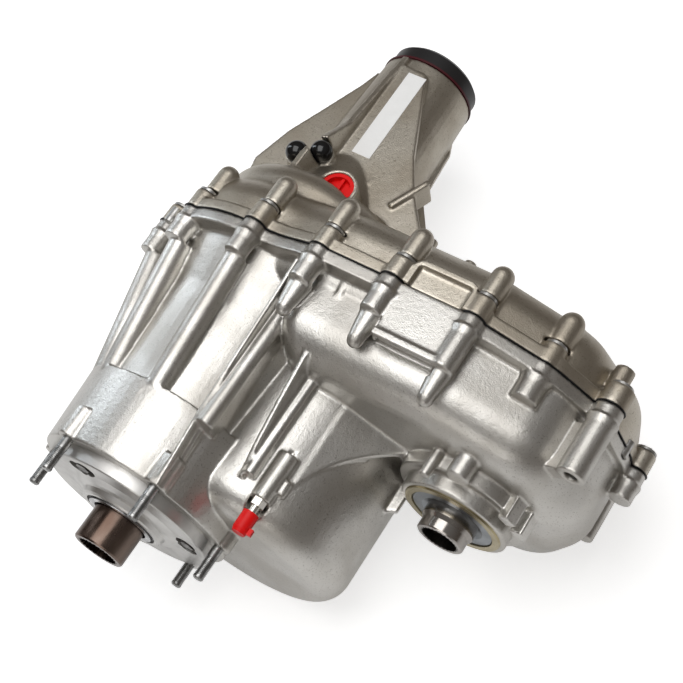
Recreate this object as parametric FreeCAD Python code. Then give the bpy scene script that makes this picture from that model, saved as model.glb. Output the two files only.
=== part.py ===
import FreeCAD, Part
import math
import os

# Chain-driven part-time transfer case, lying on its side.
# Y runs along the main shaft towards the tail, X runs from the main shaft to the
# front output shaft, and Z is up. The origin is the centre of the adapter face.
os.makedirs("parts", exist_ok=True)
V = FreeCAD.Vector

# Sizes of the drive, mm
chain_pitch = 9.525
centre_pitches = 27
axle_x = chain_pitch * centre_pitches
sprocket_teeth = 36
chain_width = 36.0
link_thickness = 4.5
gear_module = 1.7
sun_teeth = 48
planet_teeth = 16
planet_count = 4
gear_width = 27.0
gear_backlash = 0.24

# Running, seating and press clearances
run_gap = 0.05
seat_gap = 0.3
press_gap = 0.02

# Case castings
case_depth = 240.5
sealant_gap = 0.6
wall = 7.0
rim_depth = 12.0
rim_overhang = 9.0
face_radius = 96.0
step_depth = 75.5
step_drop = 5.0
barrel_draft = 4.0
flare_radius = 108.0
main_reach = 119.0
rim_top = 138.0
rim_bottom = -128.0
end_reach = 111.0
chain_front = 152.0
chain_round = 38.0
housing_drop = 21.0
housing_left = 61.0
band_inset = 17.0
band_depth = 30.0
band_round = 20.0
rear_depth = 62.0
rear_round = 36.0
dome_radius = 103.0
dome_end = 331.0
dome_round = 26.0
rest_z = -141.0

# Sump belly under the planetary
belly_x = 92.0
belly_radius = 103.0
belly_front = 17.0
belly_round = 27.0
belly_flat_z = 68.0

# Adapter face and input
stud_circle_r = 93.0
stud_count = 6
stud_radius = 5.0
stud_reach = 33.0
stud_depth = 22.0
stud_pitch = 1.5
stud_nut_across = 15.0
retainer_radius = 84.0
retainer_depth = 12.0
nose_radius = 42.0
nose_reach = 21.5
retainer_bolt_r = 66.0
retainer_bolt_angle = 117.0
seal_width = 11.0
input_reach = 56.0
input_radius = 25.2
input_bore = 20.5
input_spline_teeth = 27
input_bearing_y = 4.0
input_bearing_id = 30.0
input_bearing_od = 50.0
input_bearing_w = 21.0

# Planetary gears and range clutch
gear_y = 61.0
ring_outer = 80.0
planet_pin_radius = 7.0
carrier_radius = 65.5
post_radius = 8.0
clutch_teeth = 32
clutch_root = 28.8
clutch_tip = 31.2
clutch_width = 8.0
clutch_gap = 0.25
range_travel = 13.0
range_groove_radius = 34.0
range_sleeve_radius = 40.0

# Chain drive and mode clutch
sprocket_y = 177.0
mode_teeth = 36
mode_root = 35.6
mode_tip = 38.0
mode_travel = 14.0
mode_groove_radius = 44.0
mode_sleeve_radius = 50.0
main_shaft_radius = 19.0
pilot_y = 32.0
spline_radius = 24.0
journal_radius = 26.0
pump_radius = 54.0
pump_y = 283.0
tone_wheel_y = 346.0
tone_wheel_radius = 33.0

# Front output
front_tube_y = 101.5
front_tube_radius = 22.5
front_face_y = 124.0
front_nose_radius = 52.0
front_collar_radius = 62.0
front_bearing_od = 42.5
front_bearing_w = 19.0
front_shaft_radius = 25.0
front_bore = 17.0
front_journal_radius = 17.5

# Tail
rear_bearing_y = 306.0
rear_bearing_id = 22.0
rear_bearing_od = 42.5
rear_bearing_w = 19.0
tail_end = 514.0
tail_radius = 50.0
tail_mouth_radius = 38.0
cap_reach = 19.0
cap_radius = 47.5
band_width = 2.0
web_top = 55.6
yoke_radius = 30.0

# Case bolts and dowels
boss_radius = 11.0
rear_boss_length = 20.0
bolt_radius = 4.0
bolt_hole_gap = 0.5
bolt_across = 12.0
case_bolt_tip = 24.0
head_room = 5.0
head_height = 4.2
dowel_radius = 5.0
dowel_reach = 7.5

# Shift gear
selector_z = -25.0
selector_reach = 118.0
selector_radius = 8.0
mode_selector_inset = 23.0
crank_radius = 28.0
crank_x = -76.0
crank_thickness = 6.0
shift_pin_radius = 4.0
shift_pin_gap = 0.45
rail_x = -61.0
rail_z = 38.7
rail_radius = 7.0
rail_hub_radius = 9.5
fork_gap = 0.3

# Ports, sensors, vent and plugs
port_x = 24.0
port_y = 325.0
port_top = 90.0
port_radius = 16.0
sensor_spots = [(-41.0, 352.0), (-20.0, 363.0)]
sensor_seat = 66.0
sensor_radius = 11.0
sensor_stem_radius = 6.0
vent_x = 124.0
vent_radius = 5.0
plug_spots = [(170.0, -72.0), (170.0, -18.0)]
plug_radius = 9.0
needle_od = 23.5

# Derived planes
rear_y = case_depth + sealant_gap
rear_wall_y = rear_y + rear_depth
belly_z = rest_z + belly_radius
sun_r = gear_module * sun_teeth / 2
planet_r = gear_module * planet_teeth / 2
ring_teeth = sun_teeth + 2 * planet_teeth
ring_r = gear_module * ring_teeth / 2
planet_circle = sun_r + planet_r
sprocket_r = chain_pitch / (2 * math.sin(math.pi / sprocket_teeth))
chain_y0 = sprocket_y
chain_y1 = sprocket_y + chain_width
gear_end = gear_y + gear_width
carrier_y0 = gear_y - 7.0
carrier_y1 = gear_end + 3.0
clutch_y = carrier_y1 + 0.5
low_clutch_y = clutch_y + clutch_width + 3.5
range_groove_y = low_clutch_y + clutch_width + range_travel + 8.0
fork_width = 8.0
mode_groove_y = chain_y1 + 11.0
mode_hub_y = chain_y1 + 12.5
front_bearing_y = front_face_y + 6.0
seal_outer = input_radius + seal_width
belly_wall_z = belly_flat_z - 8.0
range_selector_y = range_groove_y + fork_width / 2
mode_selector_y = case_depth - mode_selector_inset
selector_ys = [range_selector_y, mode_selector_y]
rail_angle = math.degrees(math.atan2(rail_z, rail_x))
rail_r = math.hypot(rail_x, rail_z)
rail_front_y = carrier_y1 + 8.0
rail_end_y = rear_y + 46.0
needle_y = rear_wall_y - 36.0
tail_face_y = tail_end + band_width


# Shape helpers: every round thing runs along Y unless it says otherwise
def cyl(x, z, y0, y1, r):
    return Part.makeCylinder(r, y1 - y0, V(x, y0, z), V(0, 1, 0))


def cyl_z(x, y, z0, z1, r):
    return Part.makeCylinder(r, z1 - z0, V(x, y, z0), V(0, 0, 1))


def cyl_x(y, z, x0, x1, r):
    return Part.makeCylinder(r, x1 - x0, V(x0, y, z), V(1, 0, 0))


def cone(x, z, y0, y1, r0, r1):
    return Part.makeCone(r0, r1, y1 - y0, V(x, y0, z), V(0, 1, 0))


def ring(x, z, y0, y1, r_in, r_out):
    return cyl(x, z, y0, y1, r_out).cut(cyl(x, z, y0 - 1, y1 + 1, r_in))


def block(x0, x1, y0, y1, z0, z1):
    return Part.makeBox(x1 - x0, y1 - y0, z1 - z0, V(x0, y0, z0))


def turned(x, z, profile):
    # profile is a list of (radius, y) points, closed and turned about the Y line
    points = [V(x + r, y, z) for r, y in profile]
    face = Part.Face(Part.makePolygon(points + [points[0]]))
    return face.revolve(V(x, 0, z), V(0, 1, 0), 360)


def joined(a, b):
    # a join that has lost some volume is made again with a small tolerance
    whole_volume = a.Volume + b.Volume - a.common(b).Volume
    for whole in (a.fuse(b), b.fuse(a), a.fuse([b], 0.002), b.fuse([a], 0.005)):
        if abs(whole.Volume - whole_volume) < 1e-4 * whole_volume:
            break
    return whole


def fused(shapes):
    # joins neighbours two by two, so that each join stays small
    parts = list(shapes)
    while len(parts) > 1:
        pairs = []
        for i in range(0, len(parts) - 1, 2):
            pairs.append(joined(parts[i], parts[i + 1]))
        if len(parts) % 2:
            pairs.append(parts[-1])
        parts = pairs
    return parts[0]


def carved(body, cuts):
    # one cut after the other: the castings come out whole this way
    for shape in cuts:
        body = body.cut(shape)
    return body


def prism_y(points, y0, y1):
    corners = [V(x, y0, z) for x, z in points]
    return Part.Face(Part.makePolygon(corners + [corners[0]])).extrude(V(0, y1 - y0, 0))


def prism_x(points, x0, x1):
    corners = [V(x0, y, z) for y, z in points]
    return Part.Face(Part.makePolygon(corners + [corners[0]])).extrude(V(x1 - x0, 0, 0))


def prism_z(points, z0, z1):
    corners = [V(x, y, z0) for x, y in points]
    return Part.Face(Part.makePolygon(corners + [corners[0]])).extrude(V(0, 0, z1 - z0))


def rounded_face(corners, y):
    # corners is a list of (x, z, radius); the sides between them stay straight
    edges = []
    joints = []
    n = len(corners)
    for i in range(n):
        x, z, r = corners[i]
        here = V(x, y, z)
        before = V(corners[i - 1][0], y, corners[i - 1][1])
        after = V(corners[(i + 1) % n][0], y, corners[(i + 1) % n][1])
        back = (before - here).normalize()
        ahead = (after - here).normalize()
        half = back.getAngle(ahead) / 2
        reach = r / math.tan(half)
        middle = (back + ahead).normalize()
        centre = here + middle * (r / math.sin(half))
        start = here + back * reach
        end = here + ahead * reach
        joints.append((start, centre - middle * r, end))
    for i in range(n):
        start, mid, end = joints[i]
        following = joints[(i + 1) % n][0]
        edges.append(Part.Arc(start, mid, end).toShape())
        if (following - end).Length > 0.01:
            edges.append(Part.LineSegment(end, following).toShape())
    return Part.Face(Part.Wire(edges))


def slab(corners, y0, y1):
    return rounded_face(corners, y0).extrude(V(0, y1 - y0, 0))


def edges_at_y(shape, y):
    found = []
    for edge in shape.Edges:
        box = edge.BoundBox
        if abs(box.YMin - y) < 0.01 and abs(box.YMax - y) < 0.01:
            found.append(edge)
    return found


def hexagon(x, z, y0, y1, across):
    r = across / math.sqrt(3)
    points = []
    for i in range(6):
        a = math.radians(60 * i)
        points.append((x + r * math.cos(a), z + r * math.sin(a)))
    return prism_y(points, y0, y1)


def polar(r, degrees):
    a = math.radians(degrees)
    return r * math.cos(a), r * math.sin(a)


def moved(shape, x, y, z):
    copy = shape.copy()
    copy.translate(V(x, y, z))
    return copy


def save(name, shapes):
    if not isinstance(shapes, list):
        shapes = [shapes]
    solids = []
    for shape in shapes:
        solids.extend(shape.removeSplitter().Solids)
    body = solids[0] if len(solids) == 1 else Part.Compound(solids)
    body.exportStep("parts/" + name + ".step")


# Tooth helpers
def involute_flank(teeth, module, r_from, r_to, thickness, steps=4):
    # half-angles of one tooth against radius, widest at the root
    pitch_r = module * teeth / 2
    base_r = pitch_r * math.cos(math.radians(20))

    def spread(r):
        if r <= base_r:
            return 0.0
        tangent = math.sqrt((r / base_r) ** 2 - 1)
        return tangent - math.atan(tangent)

    half = thickness / (2 * pitch_r)
    flank = []
    for i in range(steps + 1):
        r = r_from + (r_to - r_from) * i / steps
        flank.append((r, half + spread(pitch_r) - spread(max(r, base_r))))
    return flank


def gear_points(teeth, module, r_root, r_tip, thickness, phase):
    # phase is the angle, in degrees, of the middle of one tooth
    flank = involute_flank(teeth, module, r_root, r_tip, thickness)
    points = []
    for i in range(teeth):
        middle = math.radians(phase) + 2 * math.pi * i / teeth
        for r, half in flank:
            points.append((r * math.cos(middle - half), r * math.sin(middle - half)))
        for r, half in reversed(flank):
            points.append((r * math.cos(middle + half), r * math.sin(middle + half)))
    return points


def spline_points(teeth, r_root, r_tip, fill, phase=0.0):
    # straight-sided teeth; fill is the share of the pitch that a tooth takes
    points = []
    step = 360.0 / teeth
    for i in range(teeth):
        middle = phase + i * step
        for r, share in ((r_root, fill + 0.12), (r_tip, fill - 0.12)):
            points.append(polar(r, middle - step * share / 2))
        for r, share in ((r_tip, fill - 0.12), (r_root, fill + 0.12)):
            points.append(polar(r, middle + step * share / 2))
    return points


def shifted(points, x, z):
    return [(px + x, pz + z) for px, pz in points]


# Parting outline, shared by both castings and the sealant
outline = [
    (-main_reach, main_reach + 2, 110.0),
    (22.0, main_reach + 3, 70.0),
    (72.0, rim_top, 70.0),
    (axle_x - 38, rim_top, 90.0),
    (axle_x + 38, rim_top - 22, 50.0),
    (axle_x + 88, 80.0, 52.0),
    (axle_x + end_reach, 18.0, 60.0),
    (axle_x + end_reach, -34.0, 60.0),
    (axle_x + 88, -92.0, 50.0),
    (axle_x + 38, rim_bottom + 6, 60.0),
    (160.0, rim_bottom, 90.0),
    (-main_reach, rim_bottom, 110.0),
]


def outline_slab(inset, y0, y1):
    face = rounded_face(outline, 0)
    if inset:
        face = face.makeOffset2D(-inset)
    face.translate(V(0, y0, 0))
    return face.extrude(V(0, y1 - y0, 0))


# Bolt bosses round the parting line: x, z, length of the front boss, its radius
boss_spots = [
    (-122.0, 36.0, 34.0, boss_radius),
    (-77.0, 91.0, 34.0, boss_radius),
    (-3.0, 121.0, 34.0, boss_radius),
    (68.0, 131.0, 36.0, boss_radius),
    (141.0, 137.0, 36.0, boss_radius),
    (axle_x - 38, 134.0, 54.0, boss_radius),
    (axle_x + 27, 108.0, 36.0, boss_radius + 1),
    (axle_x + 88, 91.0, 70.0, boss_radius + 2),
    (axle_x + 114.6, -6.0, 30.0, boss_radius),
    (axle_x + 86, -94.0, 40.0, boss_radius),
    (axle_x + 8, -124.0, 34.0, boss_radius),
    (axle_x - 72, -128.0, 34.0, boss_radius),
    (104.0, -128.0, 34.0, boss_radius),
    (22.0, -128.0, 34.0, boss_radius),
    (-56.0, -117.0, 34.0, boss_radius),
    (-112.0, -66.0, 34.0, boss_radius),
]
dowel_spots = [(-112.0, 60.0), (axle_x + 104, 30.0)]


def stud_spot(i):
    return polar(stud_circle_r, 360.0 * i / stud_count)


# Front case: barrel, belly, chain housing, rim, bosses, ribs and mounting pad
def front_case_outside():
    band_y = case_depth - band_depth
    pieces = [
        cone(0, 0, 0, step_depth, face_radius, face_radius + barrel_draft),
        cone(0, 0, step_depth - 1, case_depth - 60, face_radius - step_drop, face_radius + 2),
        cone(0, 0, case_depth - 60, case_depth, face_radius + 2, flare_radius + 4),
    ]
    # chain housing with its large rounded front edge
    housing = [
        (housing_left, rim_top - housing_drop, 18.0),
        (axle_x - 36, rim_top - housing_drop + 2, 120.0),
        (axle_x + 60, 99.0, 60.0),
        (axle_x + end_reach - rim_overhang + 1, 20.0, 60.0),
        (axle_x + end_reach - rim_overhang + 1, -40.0, 60.0),
        (axle_x + 72, rim_bottom + rim_overhang + 14, 60.0),
        (axle_x - 42, rim_bottom + rim_overhang, 120.0),
        (housing_left, rim_bottom + rim_overhang, 6.0),
    ]
    body = slab(housing, chain_front, case_depth)
    front_edges = []
    for edge in edges_at_y(body, chain_front):
        if edge.BoundBox.XMax > housing_left + 20:
            front_edges.append(edge)
    pieces.append(body.makeFillet(chain_round, front_edges))
    # band that blends the barrel into the rim
    band = outline_slab(band_inset, band_y, case_depth)
    pieces.append(band.makeFillet(band_round, edges_at_y(band, band_y)))
    pieces.append(outline_slab(0, case_depth - rim_depth, case_depth))
    # belly
    belly = cyl(belly_x, belly_z, belly_front, case_depth - 40, belly_radius)
    belly = belly.makeFillet(belly_round, edges_at_y(belly, belly_front))
    keep = block(belly_x - 150, belly_x + 150, 0, case_depth, rest_z - 5, belly_flat_z)
    pieces.append(belly.common(keep))
    return pieces


def front_case_trim():
    pieces = []
    # boss columns of the studs, and ridges that run back from them
    for i in range(stud_count):
        x, z = stud_spot(i)
        pieces.append(cyl(x, z, 0, stud_depth + 8, stud_radius + 6))
    # bolt bosses with a tapering bump under each spot face
    for x, z, length, r in boss_spots:
        pieces.append(cyl(x, z, case_depth - length, case_depth, r))
        pieces.append(cone(x, z, case_depth - rim_depth - 7, case_depth - rim_depth, r, r + 2))
    for index in (3, 4, 5):
        x, z, length, r = boss_spots[index]
        low = case_depth - length
        bump = cone(x, z - 6, low - 26, low + 4, r - 4, r + 0.5)
        tip = Part.makeSphere(r - 3.7, V(x, low - 25, z - 7))
        pieces.append(bump.fuse(tip))
    # three long half-round ridges on the barrel
    for index in (0, 1, 2):
        x, z, length, r = boss_spots[index]
        away = math.hypot(x, z)
        low = away - (away - face_radius + 3) * 1.0
        sx = x / away
        sz = z / away
        start = V(sx * (low - 3), step_depth - 2, sz * (low - 3))
        finish = V(sx * (away - 7), case_depth - length + 1, sz * (away - 7))
        run = finish - start
        pieces.append(Part.makeCylinder(r, run.Length, start, run))
    # thin rib beside the top stud, and the tubular ridge next to it
    rib_x = stud_spot(1)[0] + 4
    rib = [(0.0, 60.0), (0.0, 91.0), (66.0, 104.0), (190.0, 118.0),
           (case_depth - 4, 125.0), (case_depth - 4, 60.0)]
    pieces.append(prism_x(rib, rib_x - 2.2, rib_x + 2.2))
    foot = [(10.0, 60.0), (10.0, 80.0), (step_depth, 92.0), (190.0, 104.0), (190.0, 60.0)]
    pieces.append(prism_x(foot, rib_x - 3.5, rib_x + 5.0))
    ridge_x = rib_x + 9.5
    pieces.append(cyl(ridge_x, 100.0, 62, case_depth - 46, 8.0))
    pieces.append(block(ridge_x - 7, ridge_x + 4, 62, case_depth - 46, belly_flat_z - 8, 100))
    # tall fin with a bead at its foot
    fin_x = 100.0
    fin = [(48.0, belly_flat_z - 4), (48.0, belly_flat_z + 1), (74.0, 80.0), (116.0, 93.0),
           (166.0, 106.0), (case_depth - 4, 124.0), (case_depth - 4, 60.0)]
    pieces.append(prism_x(fin, fin_x - 2.5, fin_x + 2.5))
    pieces.append(cyl(fin_x + 6, belly_flat_z + 2, 52, 172, 6.0))
    # web plate from the belly's shoulder to the front output, with its arched edge
    plate = prism_y([(118, 60), (140, 54), (165, 40), (axle_x - 34, 10), (axle_x - 34, 4),
                     (165, 32), (118, 40)], 60, 176)
    arch = Part.makeCylinder(164, 120, V(axle_x + 39, 17, -20), V(0, 0, 1))
    pieces.append(plate.cut(arch))
    low_plate = prism_z([(150, 60), (axle_x - 52, 60), (axle_x - 52, 170), (150, 170)],
                        belly_z + 8, belly_z + 14)
    low_arch = Part.makeCylinder(78, 60, V(axle_x - 20, 42, belly_z - 20), V(0, 0, 1))
    pieces.append(low_plate.cut(low_arch))
    # mounting pad with an undercut lower lip
    pad_x0 = axle_x - 104
    pad_x1 = axle_x - 38
    pad_z = rim_top + 3
    pieces.append(block(pad_x0, pad_x1, case_depth - 48, case_depth, 90, pad_z))
    pieces.append(block(pad_x0, pad_x1, case_depth - 54, case_depth - 47, pad_z - 12, pad_z + 2))
    # triangular web beside the long boss
    x, z, length, r = boss_spots[7]
    web = prism_y([(x - 34, z - 14), (x, z + 8), (x + 3, z - 6), (x - 22, z - 30)],
                  case_depth - length + 2, case_depth - 20)
    pieces.append(web)
    # vent boss on the belly's shoulder
    pieces.append(cyl(vent_x, belly_wall_z, 40, 86, 9.0))
    pieces.append(block(128, 138, 52, 66, belly_flat_z - 30, belly_flat_z - 6))
    # front output boss with its collar, pins and lugs
    nose_end = chain_front + 27
    nose = turned(0, 0, [(0.0, front_face_y), (front_nose_radius, front_face_y),
                         (front_nose_radius, front_face_y + 14),
                         (front_collar_radius, front_face_y + 14),
                         (front_collar_radius, nose_end), (0.0, nose_end)])
    nose.rotate(V(0, 0, 0), V(0, 1, 0), 200)
    pieces.append(moved(nose, axle_x, 0, 0))
    x, z = polar(front_collar_radius + 3, 112)
    pieces.append(cyl(axle_x + x, z, front_face_y + 2, chain_front + 40, 5.0))
    x, z = polar(front_collar_radius + 8, 87)
    pieces.append(cyl(axle_x + x, z, front_face_y + 9, chain_front + 50, 11.0))
    for a in (18, 38):
        x, z = polar(front_collar_radius + 2, a)
        lug = block(-6, 6, front_face_y + 6, chain_front + 20, -7, 7)
        lug.rotate(V(0, 0, 0), V(0, 1, 0), -a)
        pieces.append(moved(lug, axle_x + x, 0, z))
    # lugs on the lower rim of the front end
    for dx, z in ((98, -70), (70, -97), (48, -108), (18, -112)):
        pieces.append(cyl(axle_x + dx - 4, z + 4, chain_front + 34, case_depth, 9.0))
    # selector shaft bosses on the hidden flank
    for y in selector_ys:
        pieces.append(cyl_x(y, selector_z, -selector_reach + 12, crank_x, selector_radius + 7))
    return pieces


def front_case_hollow():
    band_y = case_depth - band_depth
    cuts = []
    # bearing bore, planetary pocket and the room behind it
    cuts.append(cyl(0, 0, -1, input_bearing_y + input_bearing_w + 1, input_bearing_od + press_gap))
    cuts.append(cyl(0, 0, input_bearing_y + input_bearing_w, gear_y - 4, 72.0))
    cuts.append(cyl(0, 0, gear_y - 5, gear_end + 5, ring_outer + press_gap))
    cuts.append(cone(0, 0, gear_end + 4, case_depth + 1, ring_outer + 2,
                     flare_radius - wall - 2))
    band = outline_slab(band_inset + wall, band_y + 9, case_depth + 1)
    cuts.append(band.makeFillet(band_round - wall, edges_at_y(band, band_y + 9)))
    inner_left = housing_left + wall + 1
    inner = [
        (housing_left, 64.0, 12.0),
        (inner_left, rim_top - housing_drop - wall, 12.0),
        (axle_x - 36, rim_top - housing_drop - wall + 2, 110.0),
        (axle_x + 56, 92.0, 52.0),
        (axle_x + end_reach - rim_overhang - wall, 18.0, 52.0),
        (axle_x + end_reach - rim_overhang - wall, -38.0, 52.0),
        (axle_x + 68, rim_bottom + rim_overhang + wall + 14, 52.0),
        (axle_x - 42, rim_bottom + rim_overhang + wall, 110.0),
        (inner_left, rim_bottom + rim_overhang + wall, 12.0),
        (housing_left, -64.0, 12.0),
    ]
    body = slab(inner, chain_front + wall + 3, case_depth + 1)
    front_edges = []
    for edge in edges_at_y(body, chain_front + wall + 3):
        if edge.BoundBox.XMax > inner_left + 15:
            front_edges.append(edge)
    cuts.append(body.makeFillet(chain_round - wall, front_edges))
    belly = cyl(belly_x, belly_z, belly_front + wall, case_depth - 40, belly_radius - wall)
    belly = belly.makeFillet(belly_round - wall, edges_at_y(belly, belly_front + wall))
    keep = block(-10, belly_x + 150, 0, case_depth, rest_z, belly_flat_z - wall)
    barrel = cyl(0, 0, 0, gear_end + 5, face_radius - 8)
    cuts.append(belly.common(keep).cut(barrel))
    # front output bores
    cuts.append(cyl(axle_x, 0, front_face_y - 1, front_bearing_y + front_bearing_w,
                    front_bearing_od + press_gap))
    cuts.append(cyl(axle_x, 0, front_bearing_y + front_bearing_w - 1, chain_front + 14, 36.0))
    # undercut under the pad's lip and the notch in the pad
    cuts.append(block(axle_x - 101, axle_x - 41, case_depth - 62, case_depth - 49, 126, rim_top - 2))
    # vent drilling, and a scallop in the shoulder for the cap in front of it
    cuts.append(cyl(vent_x, belly_wall_z, -1, 40, 9.5))
    cuts.append(cyl(vent_x, belly_wall_z, 39, 58, vent_radius + press_gap))
    cuts.append(cyl(vent_x, belly_wall_z, 39, 92, 2.5))
    # open threaded hole in the long boss
    x, z, length, r = boss_spots[7]
    cuts.append(cyl(x, z, case_depth - length - 1, case_depth - 40, 6.0))
    # rail and selector bores
    for y in selector_ys:
        cuts.append(cyl_x(y, selector_z, -selector_reach - 5, crank_x + 20, selector_radius + run_gap))
    return cuts


def drilled(shape):
    # the rail's front boss stands on the barrel's inner wall
    out_x, out_z = polar(rail_r + 12, rail_angle)
    shape = fused([
        shape,
        cyl(rail_x, rail_z, rail_front_y, rail_front_y + 11, rail_radius + 4),
        cyl(out_x, out_z, rail_front_y, rail_front_y + 11, rail_radius + 4),
    ])
    cuts = [cyl(rail_x, rail_z, rail_front_y + 1, rail_front_y + 12, rail_radius + press_gap)]
    for i in range(stud_count):
        x, z = stud_spot(i)
        cuts.append(cyl(x, z, -1, stud_depth, stud_radius + press_gap))
    for x, z, length, r in boss_spots:
        cuts.append(cyl(x, z, case_depth - case_bolt_tip - 2, case_depth + 1, bolt_radius + press_gap))
    for x, z in dowel_spots:
        cuts.append(cyl(x, z, case_depth - 8, case_depth + 1, dowel_radius + press_gap))
    for i in range(3):
        x, z = polar(retainer_bolt_r, retainer_bolt_angle + 120 * i)
        cuts.append(cyl(x, z, -1, 18, bolt_radius + press_gap))
    return shape.cut(cuts)


def kept_from_bosses(cuts, y0, y1):
    # the hollows leave a wall round every bolt boss
    guards = []
    for x, z, length, r in boss_spots:
        guards.append(cyl(x, z, y0, y1, r + 4.5))
    return [shape.cut(guards) for shape in cuts]


bored = front_case_hollow()
front_hollow = kept_from_bosses(bored[:7], case_depth - case_bolt_tip - 10, case_depth + 2) + bored[7:]
front_body = drilled(carved(fused(front_case_outside() + front_case_trim()), front_hollow))
save("front_case", front_body)



# Rear case, cast in one with the tail housing
def rear_case_outside():
    pieces = [outline_slab(0, rear_y, rear_y + rim_depth)]
    shell = [
        (-main_reach + 8, main_reach - 6, 102.0),
        (24.0, main_reach - 4, 80.0),
        (78.0, rim_top - rim_overhang + 1, 80.0),
        (axle_x - 40, rim_top - rim_overhang + 1, 110.0),
        (axle_x + 58, 99.0, 58.0),
        (axle_x + end_reach - rim_overhang + 1, 20.0, 60.0),
        (axle_x + end_reach - rim_overhang + 1, -40.0, 60.0),
        (axle_x + 72, rim_bottom + rim_overhang + 14, 60.0),
        (axle_x - 42, rim_bottom + rim_overhang, 110.0),
        (-main_reach + 8, rim_bottom + rim_overhang, 102.0),
    ]
    body = slab(shell, rear_y, rear_wall_y)
    pieces.append(body.makeFillet(rear_round, edges_at_y(body, rear_wall_y)))
    dome = cyl(0, 0, rear_y, dome_end, dome_radius)
    pieces.append(dome.makeFillet(dome_round, edges_at_y(dome, dome_end)))
    pieces.append(cone(0, 0, dome_end - 12, dome_end + 50, 80.0, tail_radius + 5))
    pieces.append(cone(0, 0, dome_end + 49, tail_end, tail_radius + 5, tail_radius))
    # bulge over the front output's rear bearing
    pieces.append(cone(axle_x, 0, rear_wall_y - 12, rear_wall_y + 14, 66.0, 46.0))
    return pieces


def rear_case_trim():
    pieces = []
    for index, (x, z, length, r) in enumerate(boss_spots):
        pieces.append(cyl(x, z, rear_y, rear_y + rear_boss_length, r))
        if index in (1, 2, 3, 4, 5, 6):
            away = math.hypot(x, z) if x < 100 else abs(z)
            sx = x / away if x < 100 else 0.0
            sz = z / away
            bump = cyl(x - 5 * sx, z - 5 * sz, rear_y, rear_y + 48, r - 0.6)
            cap = Part.makeSphere(r - 0.6, V(x - 5 * sx, rear_y + 48, z - 5 * sz))
            keep = block(x - 60, x + 60, rear_y, rear_y + 80, z - 60, z + 60)
            pieces.append(bump.fuse(cap).common(keep))
    # fins of the tail
    left = [(-40, tail_end - 8), (-tail_radius - 3, tail_end - 6), (-60, 486), (-78, 444),
            (-96, 403), (-108, 360), (-100, 320), (-40, 320)]
    pieces.append(prism_z(left, 6, 12))
    crest = [(tail_end - 4, 36), (tail_end - 4, tail_radius + 6), (470, 60), (410, 66),
             (352, 92), (320, 92), (320, 36)]
    ridge = prism_x(crest, -4, 4)
    ridge.rotate(V(0, 0, 0), V(0, 1, 0), -17)
    pieces.append(ridge)
    web = [(-14, tail_end - 14), (14, tail_end - 16), (40, 441), (55, 407), (79, 368),
           (108, 332), (108, 300), (-14, 300)]
    pieces.append(prism_z(web, web_top - 8, web_top))
    strut = [(62, 348), (67, 345), (86, 384), (81, 388)]
    pieces.append(prism_z(strut, 30, web_top + 4))
    fillet_rib = prism_x([(398, 48), (384, 55), (360, 56), (345, 48)], 30, 34)
    pieces.append(fillet_rib)
    right = [(40, 500), (tail_radius + 2, 470), (56, 410), (80, 376), (110, 344), (110, 300), (40, 300)]
    pieces.append(prism_z(right, -24, -18))
    under = [(tail_end - 14, -36), (tail_end - 20, -tail_radius - 2), (430, -62), (350, -108),
             (300, -108), (300, -36)]
    pieces.append(prism_x(under, -3, 3))
    # ports on top of the tail
    pieces.append(cyl_z(port_x, port_y, 30, port_top, port_radius + 4))
    for x, y in sensor_spots:
        pieces.append(cyl_z(x, y, 25, sensor_seat, sensor_radius + 1))
    # pocket frame that continues the pad
    pad_z = rim_top + 3
    frame = block(axle_x - 106, axle_x - 44, rear_y, rear_y + 27, 95, pad_z + 2)
    corners = []
    for edge in frame.Edges:
        box = edge.BoundBox
        if box.ZLength > 10 and box.YMin > rear_y + 20:
            corners.append(edge)
    frame = frame.makeFillet(9, corners)
    dish = block(axle_x - 100, axle_x - 50, rear_y - 1, rear_y + 21, pad_z - 3, pad_z + 5)
    pieces.append(frame.cut(dish))
    # small cast lugs on the top edge of the rear wall
    for x, z, y, r in ((135, 96, 312, 6), (176, 93, 309, 6), (204, 93, 312, 7), (281, 86, 300, 10),
                       (axle_x + 80, 76, 286, 9)):
        pieces.append(cyl(x, z, rear_wall_y - 40, y, r))
    # drain and fill bosses
    for x, z in plug_spots:
        pieces.append(cyl(x, z, rear_wall_y - 12, rear_wall_y + 3, plug_radius + 6))
    # feet on the hidden side
    for x in (18.0, axle_x - 12):
        pieces.append(block(x - 14, x + 14, rear_y, rear_y + 24, rest_z, -90))
    return pieces


def rear_case_hollow():
    cuts = []
    shell = [
        (-main_reach + 15, main_reach - 13, 95.0),
        (24.0, main_reach - 11, 73.0),
        (78.0, rim_top - rim_overhang - 6, 73.0),
        (axle_x - 40, rim_top - rim_overhang - 6, 103.0),
        (axle_x + 55, 93.0, 51.0),
        (axle_x + end_reach - rim_overhang - 6, 18.0, 53.0),
        (axle_x + end_reach - rim_overhang - 6, -38.0, 53.0),
        (axle_x + 69, rim_bottom + rim_overhang + 20, 53.0),
        (axle_x - 42, rim_bottom + rim_overhang + 7, 103.0),
        (-main_reach + 15, rim_bottom + rim_overhang + 7, 95.0),
    ]
    body = slab(shell, rear_y - 1, rear_wall_y - wall)
    cuts.append(body.makeFillet(rear_round - wall, edges_at_y(body, rear_wall_y - wall)))
    cuts.append(cyl(0, 0, rear_y, rear_bearing_y - 6, dome_radius - wall - 6))
    return cuts


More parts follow.
